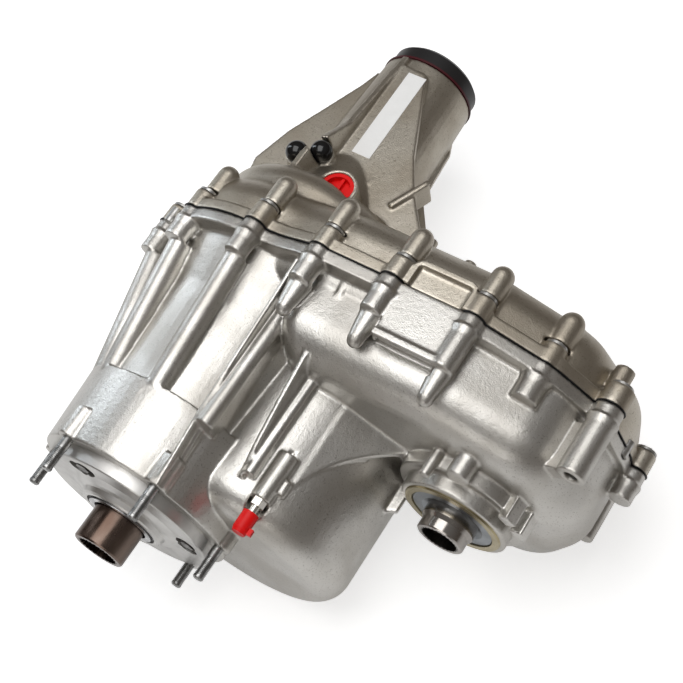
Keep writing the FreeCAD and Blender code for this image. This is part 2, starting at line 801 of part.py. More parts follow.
def rear_case_bores(shape):
    inner = cyl(axle_x, 0, needle_y - 2, rear_wall_y + 2, needle_od + 8)
    rail_boss = cyl(rail_x, rail_z, rail_end_y - 16, rear_wall_y, rail_radius + 5)
    shape = fused([shape, inner, rail_boss])
    cuts = [
        cyl(axle_x, 0, needle_y - 3, rear_wall_y - 12, needle_od + press_gap),
        cyl(0, 0, rear_bearing_y - 8, rear_bearing_y + rear_bearing_w, rear_bearing_od + press_gap),
        cyl(0, 0, rear_bearing_y + rear_bearing_w - 1, tail_end - 34, rear_bearing_od - 6),
        cyl(0, 0, tail_end - 36, tail_end + 1, tail_mouth_radius + press_gap),
        cyl(rail_x, rail_z, rail_end_y - 17, rail_end_y, rail_radius + press_gap),
        cyl_z(port_x, port_y, port_top - 18, port_top + 1, port_radius + press_gap),
    ]
    for x, z in plug_spots:
        cuts.append(cyl(x, z, rear_wall_y - 20, rear_wall_y + 4, plug_radius + press_gap))
    for x, y in sensor_spots:
        cuts.append(cyl_z(x, y, sensor_seat - 14, sensor_seat + 1, sensor_stem_radius + press_gap))
        cuts.append(cyl_z(x, y, sensor_seat, sensor_seat + 40, sensor_radius + 1))
    for x, z, length, r in boss_spots:
        head_y = rear_y + rear_boss_length
        cuts.append(cyl(x, z, rear_y - 1, head_y + 1, bolt_radius + bolt_hole_gap))
        cuts.append(cyl(x, z, head_y, head_y + head_room, r + 0.6))
    for x, z in dowel_spots:
        cuts.append(cyl(x, z, rear_y - 1, rear_y + 8, dowel_radius + press_gap))
    return shape.cut(cuts)


rear_hollow = kept_from_bosses(rear_case_hollow(), rear_y - 2, rear_y + rear_boss_length + head_room + 5)
rear_body = rear_case_bores(carved(fused(rear_case_outside() + rear_case_trim()), rear_hollow))
save("rear_case", rear_body)


# Sealant between the two castings, squeezed out a little round the edge
bead_out = 1.0
bead_in = 4.0
pads = [outline_slab(-bead_out, case_depth, rear_y)]
for x, z, length, r in boss_spots:
    pads.append(cyl(x, z, case_depth, rear_y, r + bead_out))
sealant = fused(pads).cut(outline_slab(bead_in, case_depth - 1, rear_y + 1))
sealant_holes = []
for x, z, length, r in boss_spots:
    sealant_holes.append(cyl(x, z, case_depth - 1, rear_y + 1, bolt_radius + bolt_hole_gap))
for x, z in dowel_spots:
    sealant_holes.append(cyl(x, z, case_depth - 1, rear_y + 1, dowel_radius + bolt_hole_gap))
save("case_sealant", sealant.cut(sealant_holes))

# Flanged bolts that hold the two castings together, and their locating dowels
bolts = []
head_y = rear_y + rear_boss_length
for x, z, length, r in boss_spots:
    bolts.append(fused([
        cyl(x, z, case_depth - case_bolt_tip, head_y, bolt_radius),
        cyl(x, z, head_y, head_y + 2.4, boss_radius - 1.0),
        hexagon(x, z, head_y + 1, head_y + head_height, bolt_across),
    ]))
save("case_bolts", bolts)
dowels = []
for x, z in dowel_spots:
    dowels.append(cyl(x, z, case_depth - dowel_reach, rear_y + dowel_reach, dowel_radius))
save("case_dowels", dowels)


# Adapter studs with thread grooves on the free end, and the nut left on one of them
def stud_profile(r, y_in, y_out, threaded):
    y = y_out + threaded
    profile = [(0.0, y_in), (r, y_in), (r, y)]
    while y - stud_pitch > y_out + 1.5:
        profile.append((r - 0.55, y - 0.25 * stud_pitch))
        profile.append((r - 0.55, y - 0.45 * stud_pitch))
        profile.append((r, y - 0.7 * stud_pitch))
        profile.append((r, y - stud_pitch))
        y -= stud_pitch
    profile.append((r, y_out + 1.2))
    profile.append((r - 1.2, y_out))
    profile.append((0.0, y_out))
    return profile


stud_shape = turned(0, 0, stud_profile(stud_radius, stud_depth - 1, -stud_reach, 15 * stud_pitch))
studs = []
for i in range(stud_count):
    x, z = stud_spot(i)
    studs.append(moved(stud_shape, x, 0, z))
save("adapter_studs", studs)
x, z = stud_spot(stud_count - 1)
stud_nut = hexagon(x, z, -9, -0.1, stud_nut_across).cut(cyl(x, z, -10, 0, stud_radius + run_gap))
save("stud_nut", stud_nut)

# Front bearing retainer: stepped disc and nose, with three bolt pockets
pilot_r = input_bearing_od - 5
retainer = turned(0, 0, [
    (pilot_r, input_bearing_y - seat_gap), (input_bearing_od - run_gap, input_bearing_y - seat_gap),
    (input_bearing_od - run_gap, 0), (retainer_radius, 0), (retainer_radius, -retainer_depth + 1),
    (retainer_radius - 1, -retainer_depth), (58.0, -retainer_depth), (50.0, -retainer_depth - 3),
    (nose_radius + 2, -retainer_depth - 4), (nose_radius, -nose_reach + 1.5),
    (nose_radius - 1.5, -nose_reach), (seal_outer + press_gap, -nose_reach), (seal_outer + press_gap, -8.0),
    (input_radius + 7, -8.0), (input_radius + 7, -3.0), (pilot_r, -3.0),
])
pocket_floor = -5.0
pockets = []
retainer_spots = [polar(retainer_bolt_r, retainer_bolt_angle + 120 * i) for i in range(3)]
for i, (x, z) in enumerate(retainer_spots):
    side_x, side_z = polar(5.0, retainer_bolt_angle + 120 * i + 90)
    pockets.append(cyl(x, z, -9, 1, bolt_radius + bolt_hole_gap))
    for side in (-1, 1):
        pockets.append(cyl(x + side * side_x, z + side * side_z, -retainer_depth - 8, pocket_floor, 10.0))
save("input_bearing_retainer", carved(retainer, pockets))
retainer_bolts = []
for x, z in retainer_spots:
    retainer_bolts.append(fused([
        cyl(x, z, pocket_floor, 16, bolt_radius),
        cyl(x, z, pocket_floor - 1.5, pocket_floor, 8.5),
        hexagon(x, z, pocket_floor - 7, pocket_floor - 1, bolt_across),
    ]))
save("retainer_bolts", retainer_bolts)

# Input seal: rubber ring in the nose, with its bright steel case in front
seal_y = -nose_reach + 2
input_seal = turned(0, 0, [
    (input_radius + run_gap, seal_y + 4), (input_radius + 3, seal_y), (seal_outer, seal_y),
    (seal_outer, -8.5), (input_radius + 3, -8.5), (input_radius + run_gap, seal_y + 6),
])
save("input_seal", input_seal)
save("input_seal_case", ring(0, 0, seal_y - 3, seal_y - 0.1, input_radius + 2.2, seal_outer - 3))


# Ball bearing with raceway grooves: outer ring, inner ring and balls are three nodes
def ball_bearing(name, x, z, y, width, r_in, r_out, ball_count):
    middle = (r_in + r_out) / 2
    ball = (r_out - r_in) * 0.28
    centre_y = y + width / 2
    race = Part.makeTorus(middle, ball + run_gap, V(x, centre_y, z), V(0, 1, 0))
    save(name + "_outer_ring", ring(x, z, y, y + width, middle + ball * 0.55, r_out).cut(race))
    save(name + "_inner_ring", ring(x, z, y, y + width, r_in, middle - ball * 0.55).cut(race))
    balls = []
    for i in range(ball_count):
        bx, bz = polar(middle, 360.0 * i / ball_count)
        balls.append(Part.makeSphere(ball, V(x + bx, centre_y, z + bz)))
    save(name + "_balls", balls)


ball_bearing("input_bearing", 0, 0, input_bearing_y, input_bearing_w,
             input_bearing_id, input_bearing_od, 16)
ball_bearing("rear_bearing", 0, 0, rear_bearing_y, rear_bearing_w,
             rear_bearing_id, rear_bearing_od, 10)
ball_bearing("front_bearing", axle_x, 0, front_bearing_y, front_bearing_w,
             front_shaft_radius, front_bearing_od, 12)


def socket_spline(teeth, r_root, r_tip, gap, y0, y1):
    # the space that a spline needs, wider than the spline by the gap all round
    widen = gap * teeth / (math.pi * (r_root + r_tip))
    return prism_y(spline_points(teeth, r_root + gap, r_tip + gap, 0.5 + widen), y0, y1)


# Input shaft with the sun gear, the output shaft's pilot bore and the high-range clutch
addendum = 0.9 * gear_module
dedendum = 1.2 * gear_module
tooth_pitch = math.pi * gear_module
tooth_width = tooth_pitch / 2 - gear_backlash / 2
sun = prism_y(gear_points(sun_teeth, gear_module, sun_r - dedendum, sun_r + addendum, tooth_width, 0.0),
              gear_y, gear_end)
input_tube = turned(0, 0, [
    (0.0, -8.0), (input_bore - 1.6, -8.0), (input_bore - 1.6, -input_reach),
    (input_radius - 1.2, -input_reach), (input_radius, -input_reach + 1.5), (input_radius, 2.0),
    (input_bearing_id - press_gap, 2.0), (input_bearing_id - press_gap, input_bearing_y + input_bearing_w),
    (input_bearing_id + 4, input_bearing_y + input_bearing_w), (input_bearing_id + 4, carrier_y0 - 21),
    (input_bearing_id, carrier_y0 - 21), (input_bearing_id, gear_y + 1), (sun_r - dedendum - 1, gear_y + 1),
    (sun_r - dedendum - 1, gear_end), (main_shaft_radius + run_gap, gear_end),
    (main_shaft_radius + run_gap, pilot_y - 2), (0.0, pilot_y - 2),
])
input_shaft = input_tube.fuse(sun)
pilot_bore = cyl(0, 0, pilot_y - 2, gear_end + 1, main_shaft_radius + run_gap)
spline_teeth_cut = prism_y(spline_points(input_spline_teeth, input_bore - 2.0, input_bore, 0.5),
                           -input_reach - 1, -8.0)
high_clutch_y = gear_end - clutch_width - 3
high_clutch = socket_spline(clutch_teeth, clutch_root, clutch_tip, clutch_gap, high_clutch_y - 1, gear_end + 1)
save("input_shaft", input_shaft.cut([spline_teeth_cut, pilot_bore, high_clutch]))

# Annulus gear, pressed into the front case
space_width = tooth_pitch / 2 + gear_backlash / 2
spaces = prism_y(
    gear_points(ring_teeth, gear_module, ring_r - addendum, ring_r + dedendum, space_width, 180.0 / ring_teeth),
    gear_y - 4, gear_end + 4)
save("annulus_gear", cyl(0, 0, gear_y - 3, gear_end + 2, ring_outer).cut(spaces))

# Planet gears on their pins
for i in range(planet_count):
    place = 360.0 * i / planet_count
    x, z = polar(planet_circle, place)
    phase = place + 180 + 180.0 / planet_teeth
    profile = gear_points(planet_teeth, gear_module, planet_r - dedendum, planet_r + addendum,
                          tooth_width, phase)
    planet = prism_y(shifted(profile, x, z), gear_y, gear_end)
    save("planet_gear_" + str(i + 1), planet.cut(cyl(x, z, gear_y - 1, gear_end + 1,
                                                     planet_pin_radius + run_gap)))
planet_pins = []
pin_holes = []
for i in range(planet_count):
    x, z = polar(planet_circle, 360.0 * i / planet_count)
    planet_pins.append(cyl(x, z, carrier_y0 - 1, carrier_y1 + 7, planet_pin_radius))
    pin_holes.append(cyl(x, z, carrier_y0 - 2, carrier_y1 + 8, planet_pin_radius + press_gap))
save("planet_pins", planet_pins)

# Planet carrier: two plates, four posts and the low-range clutch drum
drum_radius = clutch_tip + 13
carrier = [
    ring(0, 0, carrier_y0, carrier_y0 + 6, input_bearing_id + 1.5, carrier_radius),
    ring(0, 0, carrier_y1, carrier_y1 + 6, clutch_tip + 1.8, carrier_radius),
    ring(0, 0, carrier_y1 + 5, low_clutch_y + 1, clutch_tip + 1.8, drum_radius),
    cyl(0, 0, low_clutch_y, low_clutch_y + clutch_width, drum_radius).cut(
        socket_spline(clutch_teeth, clutch_root, clutch_tip, clutch_gap,
                      low_clutch_y - 1, low_clutch_y + clutch_width + 1)),
]
for i in range(planet_count):
    x, z = polar(planet_circle, 360.0 * (i + 0.5) / planet_count)
    carrier.append(cyl(x, z, carrier_y0 + 5, carrier_y1 + 1, post_radius))
save("planet_carrier", fused(carrier).cut(pin_holes))

# Range sleeve: dog teeth on a snout, fork groove behind, splined to the output shaft
snout_radius = clutch_root - 0.8
range_sleeve = fused([
    prism_y(spline_points(clutch_teeth, clutch_root, clutch_tip, 0.5), clutch_y, clutch_y + clutch_width),
    cyl(0, 0, clutch_y, range_groove_y - 5, snout_radius),
    cyl(0, 0, range_groove_y - 6, range_groove_y, range_sleeve_radius),
    cyl(0, 0, range_groove_y - 1, range_groove_y + fork_width + 1, range_groove_radius),
    cyl(0, 0, range_groove_y + fork_width, range_groove_y + fork_width + 6, range_sleeve_radius),
])
shaft_spline_teeth = 24
slide_gap = 0.1
bore = socket_spline(shaft_spline_teeth, spline_radius - 2, spline_radius, slide_gap,
                     clutch_y - 1, range_groove_y + fork_width + 7)
save("range_sleeve", range_sleeve.cut(bore))

# Output shaft: pilot, sliding spline, sprocket journal, bearing seat and yoke spline
yoke_spline_y = tail_end - 74
output_end = yoke_spline_y + 44
spline_start = high_clutch_y + 1
output_shaft = turned(0, 0, [
    (0.0, pilot_y), (main_shaft_radius - 2, pilot_y), (main_shaft_radius, pilot_y + 2),
    (main_shaft_radius, spline_start), (spline_radius - 2, spline_start),
    (spline_radius - 2, sprocket_y - 9), (journal_radius + 4, sprocket_y - 9),
    (journal_radius + 4, sprocket_y - 2), (journal_radius, sprocket_y - 2),
    (journal_radius, pump_y - 3), (journal_radius - 1, pump_y - 3), (journal_radius - 1, rear_bearing_y),
    (rear_bearing_id - press_gap, rear_bearing_y),
    (rear_bearing_id - press_gap, tone_wheel_y + 14), (20.0, tone_wheel_y + 14), (20.0, yoke_spline_y),
    (15.5, yoke_spline_y), (15.5, output_end), (0.0, output_end),
])
shaft_teeth = prism_y(spline_points(shaft_spline_teeth, spline_radius - 2.4, spline_radius, 0.5),
                      spline_start, sprocket_y - 8)
yoke_teeth = prism_y(spline_points(32, 15.2, 17.5, 0.5), yoke_spline_y - 1, output_end - 1)
save("output_shaft", fused([output_shaft, shaft_teeth, yoke_teeth]))


# Chain sprockets and the chain that runs round both
def sprocket_profile():
    points = []
    step = 360.0 / sprocket_teeth
    root = sprocket_r - 5.3
    tip = sprocket_r - 1.2
    for i in range(sprocket_teeth):
        middle = 90 + i * step
        low = math.degrees(4.6 / 2 / root)
        high = math.degrees(3.2 / 2 / tip)
        points += [polar(root, middle - low), polar(tip, middle - high),
                   polar(tip, middle + high), polar(root, middle + low)]
    return points


drive = prism_y(sprocket_profile(), chain_y0, chain_y1)
mode_dogs = prism_y(spline_points(mode_teeth, mode_root, mode_tip, 0.5), chain_y1 - 1, mode_hub_y - 3)
drive = fused([drive, mode_dogs]).cut(cyl(0, 0, chain_y0 - 1, mode_hub_y, journal_radius + run_gap))
save("drive_sprocket", drive)
driven = prism_y(shifted(sprocket_profile(), axle_x, 0), chain_y0, chain_y1)
save("driven_sprocket", driven.cut(cyl(axle_x, 0, chain_y0 - 1, chain_y1 + 1, journal_radius + press_gap)))

side_gap = 0.2
low_edge = 0.8
block_shape = prism_y([
    (side_gap, -low_edge), (chain_pitch / 2 - 2.6, -low_edge), (chain_pitch / 2 - 1.7, -4.3),
    (chain_pitch / 2 + 1.7, -4.3), (chain_pitch / 2 + 2.6, -low_edge), (chain_pitch - side_gap, -low_edge),
    (chain_pitch - side_gap - 0.6, link_thickness), (side_gap + 0.6, link_thickness),
], chain_y0 + 1, chain_y1 - 1)
links = []


def add_link(x, z, direction):
    # direction is the way along the chain; the leg points to its inner side
    link = block_shape.copy()
    link.rotate(V(0, 0, 0), V(0, 1, 0), -direction)
    links.append(moved(link, x, 0, z))


half_teeth = sprocket_teeth // 2
pin_step = 360.0 / sprocket_teeth
for i in range(half_teeth):
    x, z = polar(sprocket_r, 270 - i * pin_step)
    add_link(x, z, 180 - (i + 0.5) * pin_step)
    x, z = polar(sprocket_r, 90 - i * pin_step)
    add_link(axle_x + x, z, 0 - (i + 0.5) * pin_step)
for i in range(centre_pitches):
    add_link(i * chain_pitch, sprocket_r, 0)
    add_link(axle_x - i * chain_pitch, -sprocket_r, 180)
save("drive_chain", links)

# Mode clutch hub, pressed on the output shaft, and the sleeve that joins it to the sprocket
mode_hub = prism_y(spline_points(mode_teeth, mode_root, mode_tip, 0.5), mode_hub_y, pump_y - 26)
save("mode_hub", mode_hub.cut(cyl(0, 0, mode_hub_y - 1, pump_y, journal_radius + press_gap)))
mode_y0 = chain_y1 + 2
mode_y1 = mode_groove_y + fork_width + 9
mode_sleeve = cyl(0, 0, mode_y0, mode_y1, mode_sleeve_radius)
mode_groove = ring(0, 0, mode_groove_y, mode_groove_y + fork_width, mode_groove_radius,
                   mode_sleeve_radius + 1)
mode_bore = socket_spline(mode_teeth, mode_root, mode_tip, slide_gap, mode_y0 - 1, mode_y1 + 1)
save("mode_sleeve", mode_sleeve.cut([mode_groove, mode_bore]))

# Shift rail, fixed in both castings
save("shift_rail", cyl(rail_x, rail_z, rail_front_y + 1.5, rail_end_y - 0.5, rail_radius))


# Shift fork: half ring in the sleeve's groove, arm, rail hub and slotted ear
def shift_fork(groove_y, r_in, r_out, pin_y, hub_y0, hub_y1):
    y0 = groove_y + fork_gap
    y1 = groove_y + fork_width - fork_gap
    half_ring = ring(0, 0, y0, y1, r_in + fork_gap + 0.1, r_out)
    half_ring = half_ring.common(block(0, r_out + 1, y0, y1, -r_out - 1, r_out + 1))
    arm = block(r_out - 3, rail_r - rail_radius + 1, y0, y1, -8, 8)
    swung = half_ring.fuse(arm)
    swung.rotate(V(0, 0, 0), V(0, 1, 0), -rail_angle)
    hub = cyl(rail_x, rail_z, hub_y0, hub_y1, rail_hub_radius)
    ear_x0 = crank_x + crank_thickness + 2
    slot = shift_pin_radius + shift_pin_gap
    pin_z = selector_z + crank_radius
    ear = block(ear_x0, ear_x0 + 6, pin_y - slot - 3.5, pin_y + slot + 3.5, pin_z - 12, rail_z - 4)
    gate = block(ear_x0 - 1, ear_x0 + 7, pin_y - slot, pin_y + slot, pin_z - 13, pin_z + 5.5)
    bored_hub = fused([swung, hub, ear.cut(gate)])
    return bored_hub.cut(cyl(rail_x, rail_z, hub_y0 - 30, hub_y1 + 30, rail_radius + run_gap))


hub_half = 8.0
range_fork = shift_fork(range_groove_y, range_groove_radius, range_sleeve_radius + 10,
                        range_selector_y, range_selector_y - hub_half, range_selector_y + hub_half)
save("range_fork", range_fork)
mode_fork = shift_fork(mode_groove_y, mode_groove_radius, mode_sleeve_radius + 8,
                       mode_selector_y, mode_groove_y - 3, mode_groove_y + fork_width + 5)
save("mode_fork", mode_fork)


# Selector shaft with its crank and pin
def selector(y):
    tip_z = selector_z + crank_radius
    plate_end = crank_x + crank_thickness
    plate = fused([
        cyl_x(y, selector_z, crank_x, plate_end, selector_radius + 3),
        block(crank_x, plate_end, y - 6, y + 6, selector_z, tip_z),
        cyl_x(y, tip_z, crank_x, plate_end, 6.0),
        cyl_x(y, tip_z, plate_end - 1, plate_end + 8.5, shift_pin_radius),
    ])
    shaft = cyl_x(y, selector_z, -selector_reach - 14, crank_x + 1, selector_radius)
    flat = block(-selector_reach - 15, -selector_reach - 3, y - 9, y + 9, selector_z + 4.5, selector_z + 10)
    return plate.fuse(shaft).cut(flat)


save("range_selector", selector(range_selector_y))
save("mode_selector", selector(mode_selector_y))

# Oil pump on the rear wall: housing, cover and lobed rotor, with its pickup tube and strainer
wall_face = rear_bearing_y - 6
pump_body = cyl(0, 0, pump_y + 4, wall_face - seat_gap, pump_radius).cut([
    cyl(0, 0, pump_y + 3, pump_y + 14, 34.0), cyl(0, 0, pump_y, wall_face, journal_radius)])
save("oil_pump_body", pump_body)
save("oil_pump_cover", ring(0, 0, pump_y, pump_y + 4, journal_radius + 0.5, pump_radius))
rotor = [cyl(0, 0, pump_y + 4.3, pump_y + 13.7, 29.5)]
for i in range(8):
    x, z = polar(28.5, 45.0 * i)
    rotor.append(cyl(x, z, pump_y + 4.3, pump_y + 13.7, 4.8))
save("oil_pump_rotor", fused(rotor).cut(cyl(0, 0, pump_y, wall_face, journal_radius - 1 + press_gap)))
tube_y = mode_y1 + mode_travel + 8
pickup = fused([
    cyl(0, -40, tube_y, pump_y, 5.0),
    Part.makeSphere(5.0, V(0, tube_y, -40)),
    cyl_z(0, tube_y, -100, -40, 5.0),
    cyl_z(0, tube_y, -108, -100, 14.0),
])
save("oil_pickup", pickup)

# Tone wheel for the speed sensors
tone_wheel = prism_y(spline_points(32, tone_wheel_radius - 3.5, tone_wheel_radius, 0.5),
                     tone_wheel_y, tone_wheel_y + 13)
save("tone_wheel", tone_wheel.cut(cyl(0, 0, tone_wheel_y - 1, tone_wheel_y + 15, rear_bearing_id)))

# Tail: bushing and seal for the slip yoke, then the dust cap and its red band
save("tail_bushing", ring(0, 0, tail_end - 62, tail_end - 36, yoke_radius + 0.1,
                          rear_bearing_od - 6 - press_gap))
save("tail_seal", turned(0, 0, [
    (yoke_radius + 0.1, tail_end - 28), (tail_mouth_radius, tail_end - 32),
    (tail_mouth_radius, tail_end - 20), (yoke_radius + 4, tail_end - 20),
]))
save("tail_band", ring(0, 0, tail_end, tail_face_y, tail_mouth_radius + 5, tail_radius + 0.8))
cap_y = tail_face_y + 0.2
dust_cap = turned(0, 0, [
    (0.0, cap_y + cap_reach - 3), (0.0, cap_y + cap_reach), (cap_radius - 4, cap_y + cap_reach),
    (cap_radius, cap_y + cap_reach - 4), (cap_radius, cap_y), (tail_mouth_radius - 0.1, cap_y),
    (tail_mouth_radius - 0.1, tail_end - 14), (tail_mouth_radius - 3, tail_end - 14),
    (tail_mouth_radius - 3, cap_y + cap_reach - 3),
])
save("tail_dust_cap", dust_cap)

# Front output shaft: splined socket in front, journals, sprocket seat and rear journal
shaft = turned(axle_x, 0, [
    (0.0, front_bearing_y), (front_bore, front_bearing_y), (front_bore, front_tube_y),
    (front_tube_radius - 1, front_tube_y), (front_tube_radius, front_tube_y + 1),
    (front_tube_radius, front_tube_y + 10), (front_shaft_radius - press_gap, front_tube_y + 14),
    (front_shaft_radius - press_gap, front_bearing_y + front_bearing_w),
    (journal_radius + 4, front_bearing_y + front_bearing_w),
    (journal_radius + 4, chain_y0), (journal_radius, chain_y0), (journal_radius, chain_y1 + 9),
    (22.0, chain_y1 + 9), (22.0, needle_y - 6), (front_journal_radius, needle_y - 6),
    (front_journal_radius, needle_y + 23), (0.0, needle_y + 23),
])
front_spline = prism_y(shifted(spline_points(27, front_bore - 0.4, front_bore + 1.6, 0.5), axle_x, 0),
                       front_tube_y - 1, front_bearing_y - 1)
save("front_output_shaft", shaft.cut(front_spline))
save("needle_bearing", ring(axle_x, 0, needle_y, needle_y + 22, front_journal_radius + run_gap, needle_od))

# Front output seal, with the plated ring that locates it
save("front_output_seal", turned(axle_x, 0, [
    (front_shaft_radius + run_gap, front_face_y + 2.5), (30.0, front_face_y - 0.5),
    (39.0, front_face_y - 0.5), (40.0, front_face_y + 0.6), (front_bearing_od, front_face_y + 0.6),
    (front_bearing_od, front_bearing_y - seat_gap), (30.0, front_bearing_y - seat_gap),
    (front_shaft_radius + run_gap, front_face_y + 4.5),
]))
save("front_seal_ring", turned(axle_x, 0, [
    (40.2, front_face_y - 1.6), (front_bearing_od + 4, front_face_y - 1.6),
    (front_bearing_od + 5, front_face_y), (front_bearing_od - 0.1, front_face_y),
    (front_bearing_od - 0.1, front_face_y + 0.5), (40.2, front_face_y + 0.5),
]))

# Vent: threaded fitting in its boss, and the red cap pushed on it
fitting = fused([
    cyl(vent_x, belly_wall_z, 24, 57, vent_radius - 1),
    cyl(vent_x, belly_wall_z, 40, 57, vent_radius),
    hexagon(vent_x, belly_wall_z, 33, 40, 12.0),
])
save("vent_fitting", fitting)
cap = fused([
    cone(vent_x, belly_wall_z, 6, 10, 6.2, 7.5), cyl(vent_x, belly_wall_z, 10, 26, 7.5),
    block(vent_x + 4, vent_x + 11, 8, 14, belly_wall_z - 2, belly_wall_z + 2),
])
save("vent_cap", cap.cut(cyl(vent_x, belly_wall_z, 12, 27, vent_radius - 1 + run_gap)))

# Red plug in the top port, with a recessed face and two grip tabs
plug = cyl_z(port_x, port_y, port_top - 16, port_top - 2, port_radius)
plug = plug.cut(cyl_z(port_x, port_y, port_top - 8, port_top, port_radius - 3.5))
tabs = [block(port_x - 1.5, port_x + 1.5, port_y - 13, port_y + 13, port_top - 9, port_top - 4)]
save("port_plug", fused([plug] + tabs))

# Black caps over the two sensor ports
caps = []
for x, y in sensor_spots:
    ball = Part.makeSphere(sensor_radius, V(x, y, sensor_seat + 5))
    top = ball.common(cyl_z(x, y, sensor_seat, sensor_seat + 20, sensor_radius + 1))
    caps.append(top.fuse(cyl_z(x, y, sensor_seat - 13, sensor_seat + 1, sensor_stem_radius)))
save("sensor_caps", caps)

# Drain and fill plugs with hexagon sockets
plugs = []
for x, z in plug_spots:
    head = cyl(x, z, rear_wall_y + 3, rear_wall_y + 9, plug_radius + 4)
    stem = cyl(x, z, rear_wall_y - 12, rear_wall_y + 3, plug_radius)
    plugs.append(head.fuse(stem).cut(hexagon(x, z, rear_wall_y, rear_wall_y + 10, 10.0)))
save("oil_plugs", plugs)

# Blank label on the tail's web
save("label", block(-2, 18, dome_end + 54, tail_end - 22, web_top, web_top + 0.5))
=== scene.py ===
import bpy
from mathutils import Matrix, Vector


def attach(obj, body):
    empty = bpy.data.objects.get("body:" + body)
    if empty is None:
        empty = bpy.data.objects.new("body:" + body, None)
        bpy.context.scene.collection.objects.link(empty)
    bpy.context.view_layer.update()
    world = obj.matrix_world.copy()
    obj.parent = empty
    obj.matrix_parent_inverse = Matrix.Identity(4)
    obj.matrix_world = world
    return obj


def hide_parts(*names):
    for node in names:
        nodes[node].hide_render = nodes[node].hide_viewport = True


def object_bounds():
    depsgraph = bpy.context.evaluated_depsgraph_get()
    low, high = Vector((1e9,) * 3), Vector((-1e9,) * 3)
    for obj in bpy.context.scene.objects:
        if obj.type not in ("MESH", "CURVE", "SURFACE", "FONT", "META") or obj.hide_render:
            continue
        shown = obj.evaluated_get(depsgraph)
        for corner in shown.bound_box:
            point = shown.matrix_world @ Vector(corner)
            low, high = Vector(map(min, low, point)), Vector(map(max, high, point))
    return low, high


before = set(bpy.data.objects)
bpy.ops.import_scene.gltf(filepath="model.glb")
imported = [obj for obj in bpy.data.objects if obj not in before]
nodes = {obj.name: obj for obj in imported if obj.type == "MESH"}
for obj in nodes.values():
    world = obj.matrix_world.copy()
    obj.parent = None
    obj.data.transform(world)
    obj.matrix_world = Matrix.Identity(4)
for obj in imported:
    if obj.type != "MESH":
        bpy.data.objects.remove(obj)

cad_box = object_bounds()

# Camera.
# It looks down on the case from in front of its adapter face,
# rolled so that the tail points up and to the right.
to_right = Vector((0.83825, 0.53028, -0.12705))
to_foot = Vector((0.41288, -0.76943, -0.48735))
to_scene = Vector((-0.35619, 0.35606, -0.86391))
camera_place = (0.56317, -0.258294, 1.176292)
camera_lens = 76.953
camera_data = bpy.data.cameras.new("camera")
camera_data.sensor_width = 36.0
camera_data.lens = camera_lens
camera_data.clip_start = 0.05
camera_data.clip_end = 20.0
camera = bpy.data.objects.new("camera", camera_data)
bpy.context.collection.objects.link(camera)
camera_turn = Matrix((to_right, -to_foot, -to_scene)).transposed()
camera.matrix_world = Matrix.Translation(camera_place) @ camera_turn.to_4x4()
bpy.context.scene.camera = camera
bpy.context.scene.view_settings.view_transform = "Standard"


# Floor.
# A pale paper sweep that the case rests on. The camera sees it white, and it keeps the shadow.
# A Value is a shader socket that takes sums, Wiring makes nodes in one tree, and a Finish is one material.
class Value:
    def __init__(self, wiring, socket):
        self.wiring = wiring
        self.socket = socket

    def __add__(self, other):
        return self.wiring.node("Math", {"operation": "ADD"}, [self, other])

    def __mul__(self, other):
        return self.wiring.node("Math", {"operation": "MULTIPLY"}, [self, other])

    __radd__ = __add__
    __rmul__ = __mul__

    def between(self, low, high):
        # 0 at low and 1 at high, and held there outside
        sockets = [self, low, high, 0.0, 1.0]
        return self.wiring.node("MapRange", {"interpolation_type": "SMOOTHSTEP"}, sockets)


class Wiring:
    def __init__(self, tree):
        self.tree = tree

    def node(self, kind, settings=None, sockets=(), output=0):
        made = self.tree.nodes.new("ShaderNode" + kind)
        for key, value in (settings or {}).items():
            if key == "stops":
                for stop, (position, colour) in zip(made.color_ramp.elements, value):
                    stop.position = position
                    stop.color = (*colour, 1.0)
            else:
                setattr(made, key, value)
        pairs = sockets.items() if isinstance(sockets, dict) else enumerate(sockets)
        for key, value in pairs:
            self.join(value, made.inputs[key])
        return Value(self, made.outputs[output])

    def join(self, value, socket):
        if isinstance(value, Value):
            self.tree.links.new(value.socket, socket)
        else:
            socket.default_value = value

    def blend(self, share, first, second):
        # a Mix node takes its share at input 0 and its two colours at 6 and 7
        colours = [c if isinstance(c, Value) else (*c, 1.0) for c in (first, second)]
        return self.node("Mix", {"data_type": "RGBA"}, {0: share, 6: colours[0], 7: colours[1]}, output=2)


class Finish(Wiring):
    def __init__(self, name, kept=None):
        self.material = bpy.data.materials.new(name)
        self.material.use_nodes = True
        super().__init__(self.material.node_tree)
        self.shader = self.tree.nodes["Principled BSDF"]
        for key, value in (kept or {}).items():
            self.shader.inputs[key].default_value = value
        self.place = self.node("TexCoord", output="Object")

    def noise(self, per_metre, detail=3.0, stretch=None):
        place = self.place
        if stretch:
            place = self.node("VectorMath", {"operation": "MULTIPLY"}, [place, stretch])
        return self.node("TexNoise", sockets={"Vector": place, "Scale": per_metre, "Detail": detail})

    def feed(self, socket, value):
        self.join(value, self.shader.inputs[socket])

    def bump(self, height, depth, strength=1.0):
        sockets = {"Strength": strength, "Distance": depth, "Height": height}
        self.feed("Normal", self.node("Bump", sockets=sockets))


